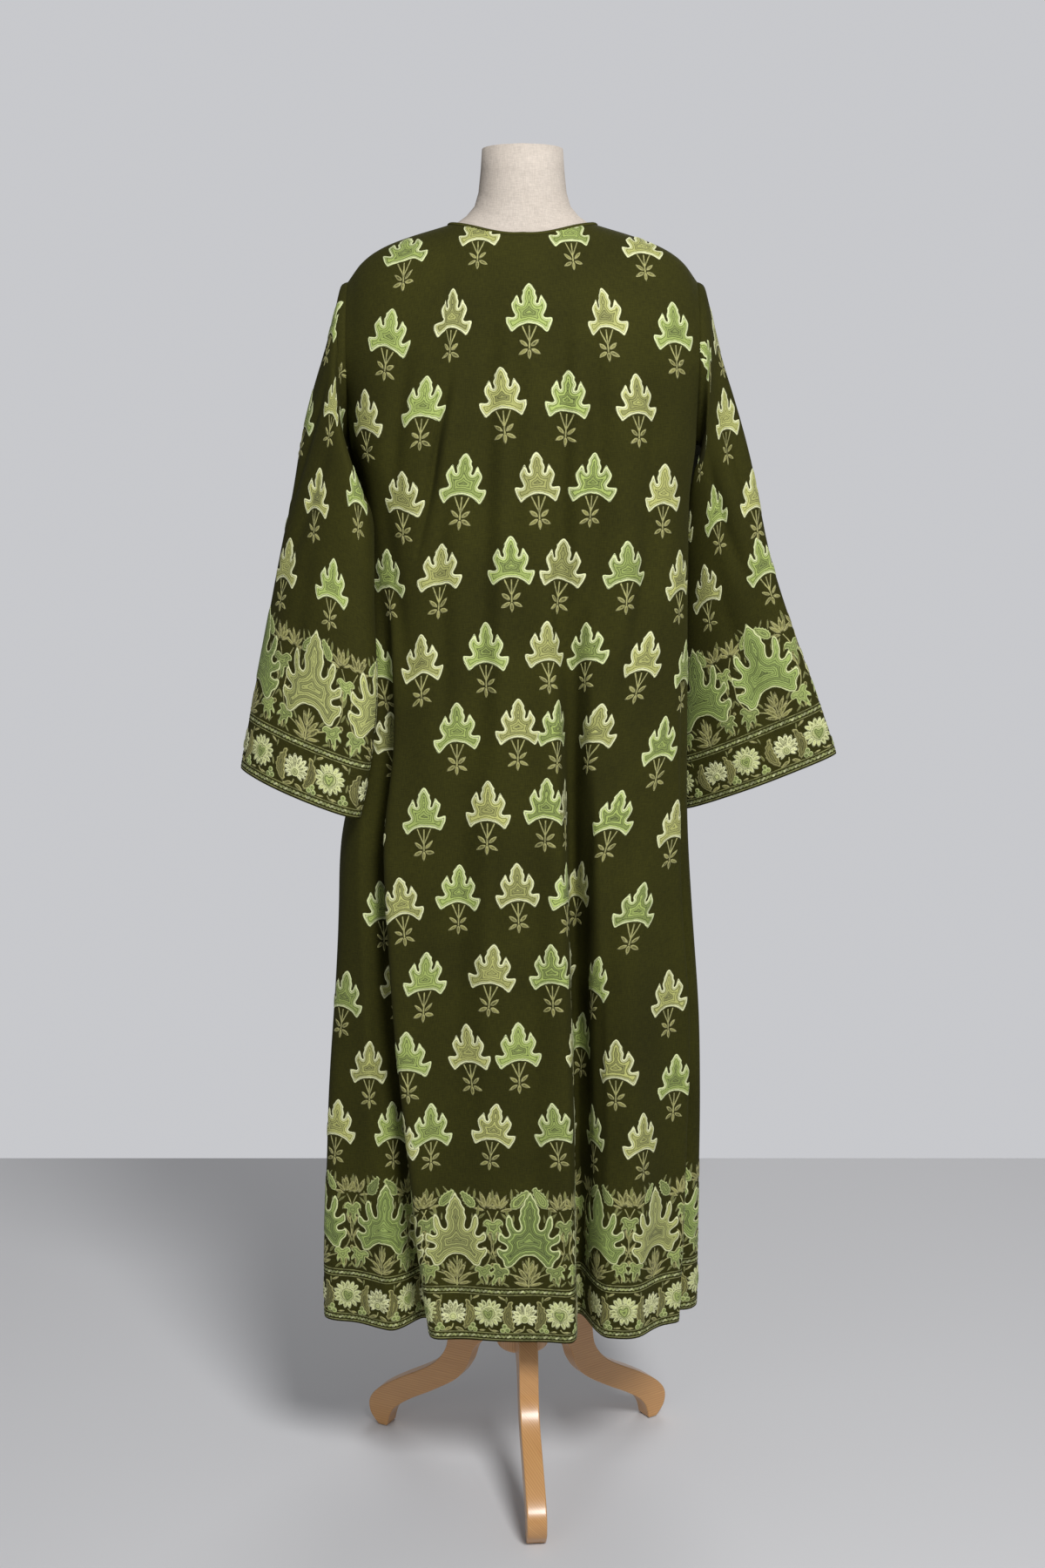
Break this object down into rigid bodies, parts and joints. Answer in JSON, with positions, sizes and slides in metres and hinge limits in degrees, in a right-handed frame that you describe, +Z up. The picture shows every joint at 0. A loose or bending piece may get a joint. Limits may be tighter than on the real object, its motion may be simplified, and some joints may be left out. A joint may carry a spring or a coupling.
{
  "type": "abaya on dress form with stand",
  "caption": "Long loose robe with bell sleeves and an open round neck, in embroidered olive cloth, worn by a limbless linen dress form on a three-legged wooden stand.",
  "frame": {"origin": "on the floor under the middle of the whole object's box", "axes": "+Z up, -Y towards the viewer of the garment's back, +X towards the viewer's right"},
  "size_m": [0.7668, 0.4334, 1.734],
  "materials": {
    "olive_cloth": "matte",
    "olive_binding": "matte",
    "linen": "matte",
    "pale_wood": "satin varnish"
  },
  "bodies": {
    "root": {"back_panel": "olive_cloth", "front_panel": "olive_cloth", "sleeve_left": "olive_cloth", "sleeve_right": "olive_cloth", "neck_binding": "olive_binding", "dress_form": "linen", "stand_pole": "pale_wood", "stand_hub": "pale_wood", "stand_leg_front": "pale_wood", "stand_leg_right": "pale_wood", "stand_leg_left": "pale_wood"}
  },
  "joints": []
}
